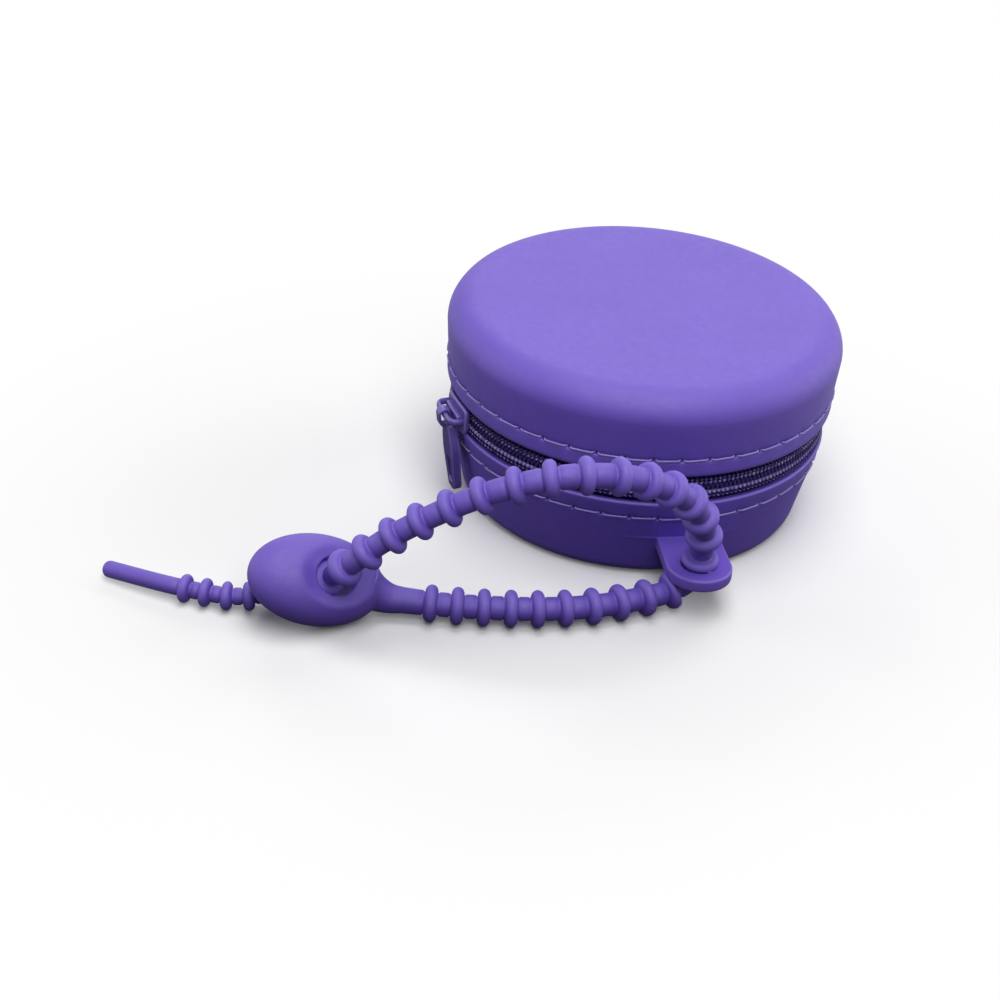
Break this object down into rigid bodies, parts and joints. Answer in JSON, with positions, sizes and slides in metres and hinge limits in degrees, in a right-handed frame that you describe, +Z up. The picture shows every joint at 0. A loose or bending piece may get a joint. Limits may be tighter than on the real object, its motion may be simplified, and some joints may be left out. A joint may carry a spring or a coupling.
{
  "type": "zip coin purse",
  "caption": "Round soft silicone zip purse with a lid and bowl, sewn coil zip, slider with pull tab, and a ribbed wrist strap looped through a lug.",
  "frame": {"origin": "middle of the purse's base, on the surface that it stands on", "axes": "+Z up, +Y to the hinge at the back, -Y to the strap lug"},
  "size_m": [0.1417, 0.0981, 0.0415],
  "materials": {
    "silicone": "soft matte silicone",
    "strap_silicone": "soft matte silicone",
    "web": "woven strip",
    "tape": "woven zip tape",
    "coil": "moulded coil",
    "thread": "sewing thread",
    "painted_zip_metal": "satin lacquer"
  },
  "bodies": {
    "bowl": {"bowl_shell": "silicone", "hinge_web": "web", "bowl_stitching": "thread", "lower_tape": "tape", "lower_coil": "coil", "lower_end_stops": "painted_zip_metal"},
    "lid": {"lid_shell": "silicone", "lid_stitching": "thread", "upper_tape": "tape", "upper_coil": "coil", "upper_end_stops": "painted_zip_metal"},
    "zip_slider": {"slider_body": "painted_zip_metal"},
    "zip_pull": {"pull_tab": "painted_zip_metal"},
    "strap": {"strap_cord": "strap_silicone", "strap_bead": "strap_silicone"}
  },
  "joints": [
    {"name": "lid_open", "type": "hinge", "parent": "bowl", "child": "lid", "pos_m": [0, 0.0366, 0.0205], "axis": [-1, 0, 0], "range_deg": [0, 110]},
    {"name": "zip_travel", "type": "hinge", "parent": "bowl", "child": "zip_slider", "pos_m": [0, 0, 0.0205], "axis": [0, 0, 1], "range_deg": [-53, 224]},
    {"name": "pull_swing", "type": "hinge", "parent": "zip_slider", "child": "zip_pull", "pos_m": [-0.03908, -0.00308, 0.0205], "axis": [-0.0785, 0.9969, 0], "range_deg": [0, 176]},
    {"name": "strap_swivel", "type": "hinge", "parent": "bowl", "child": "strap", "pos_m": [0, -0.0435, 0.0083], "axis": [0, 0, 1], "range_deg": [-20, 105]}
  ]
}
